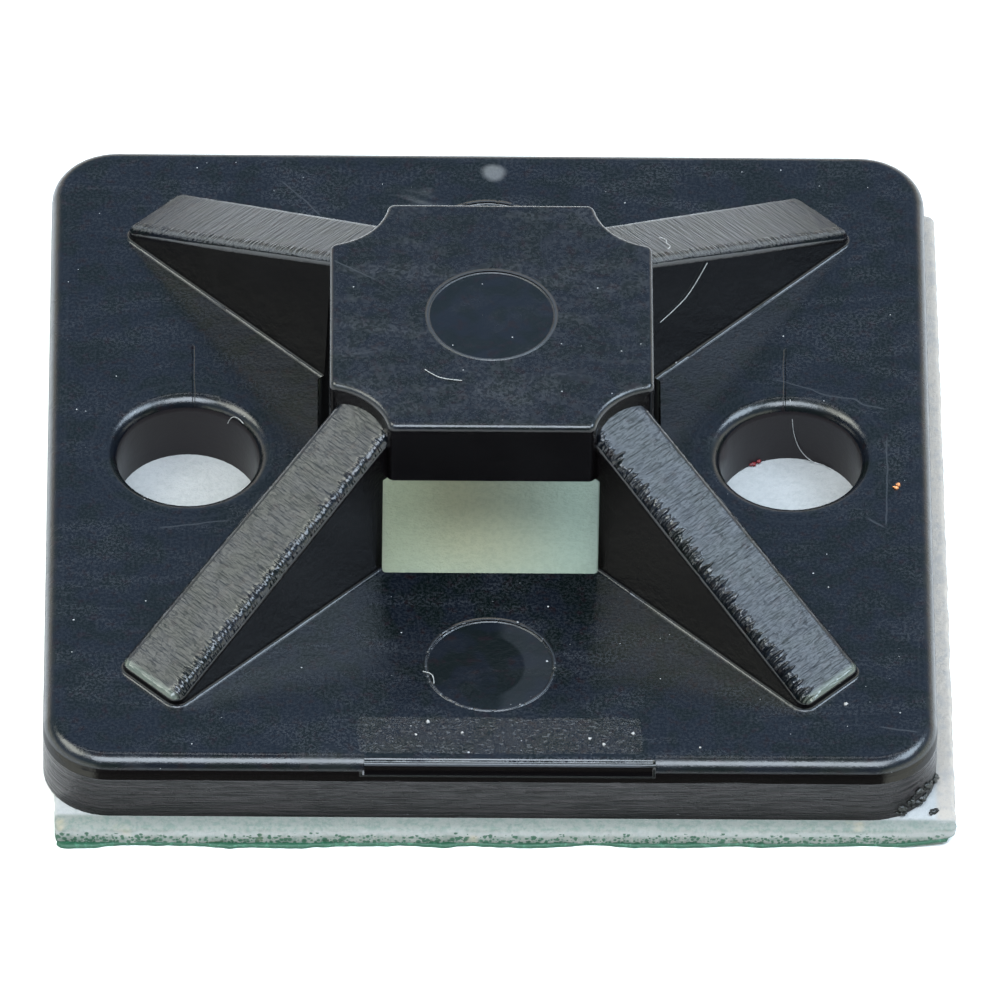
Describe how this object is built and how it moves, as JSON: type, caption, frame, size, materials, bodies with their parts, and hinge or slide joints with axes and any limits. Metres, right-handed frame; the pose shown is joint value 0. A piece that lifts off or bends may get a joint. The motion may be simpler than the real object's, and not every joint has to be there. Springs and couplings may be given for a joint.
{
  "type": "cable tie mount",
  "caption": "Square self-adhesive cable tie mount: moulded base with a raised saddle on diagonal ribs, crossing tie passages, screw holes, and a foam pad with release liner.",
  "frame": {"origin": "on the mounting plane (the release liner's underside), under the centre of the square base", "axes": "+Z away from the mounting plane, the screw holes lie along X, -Y is the side with the trimmed gate"},
  "size_m": [0.0286, 0.0286, 0.0092],
  "materials": {
    "nylon": "black moulded nylon, glossy on the base and finely grained on the saddle",
    "foam": "white closed-cell foam tape",
    "liner": "green release film"
  },
  "bodies": {
    "root": {"mount_body": "nylon", "foam_pad": "foam", "release_liner": "liner"}
  },
  "joints": []
}
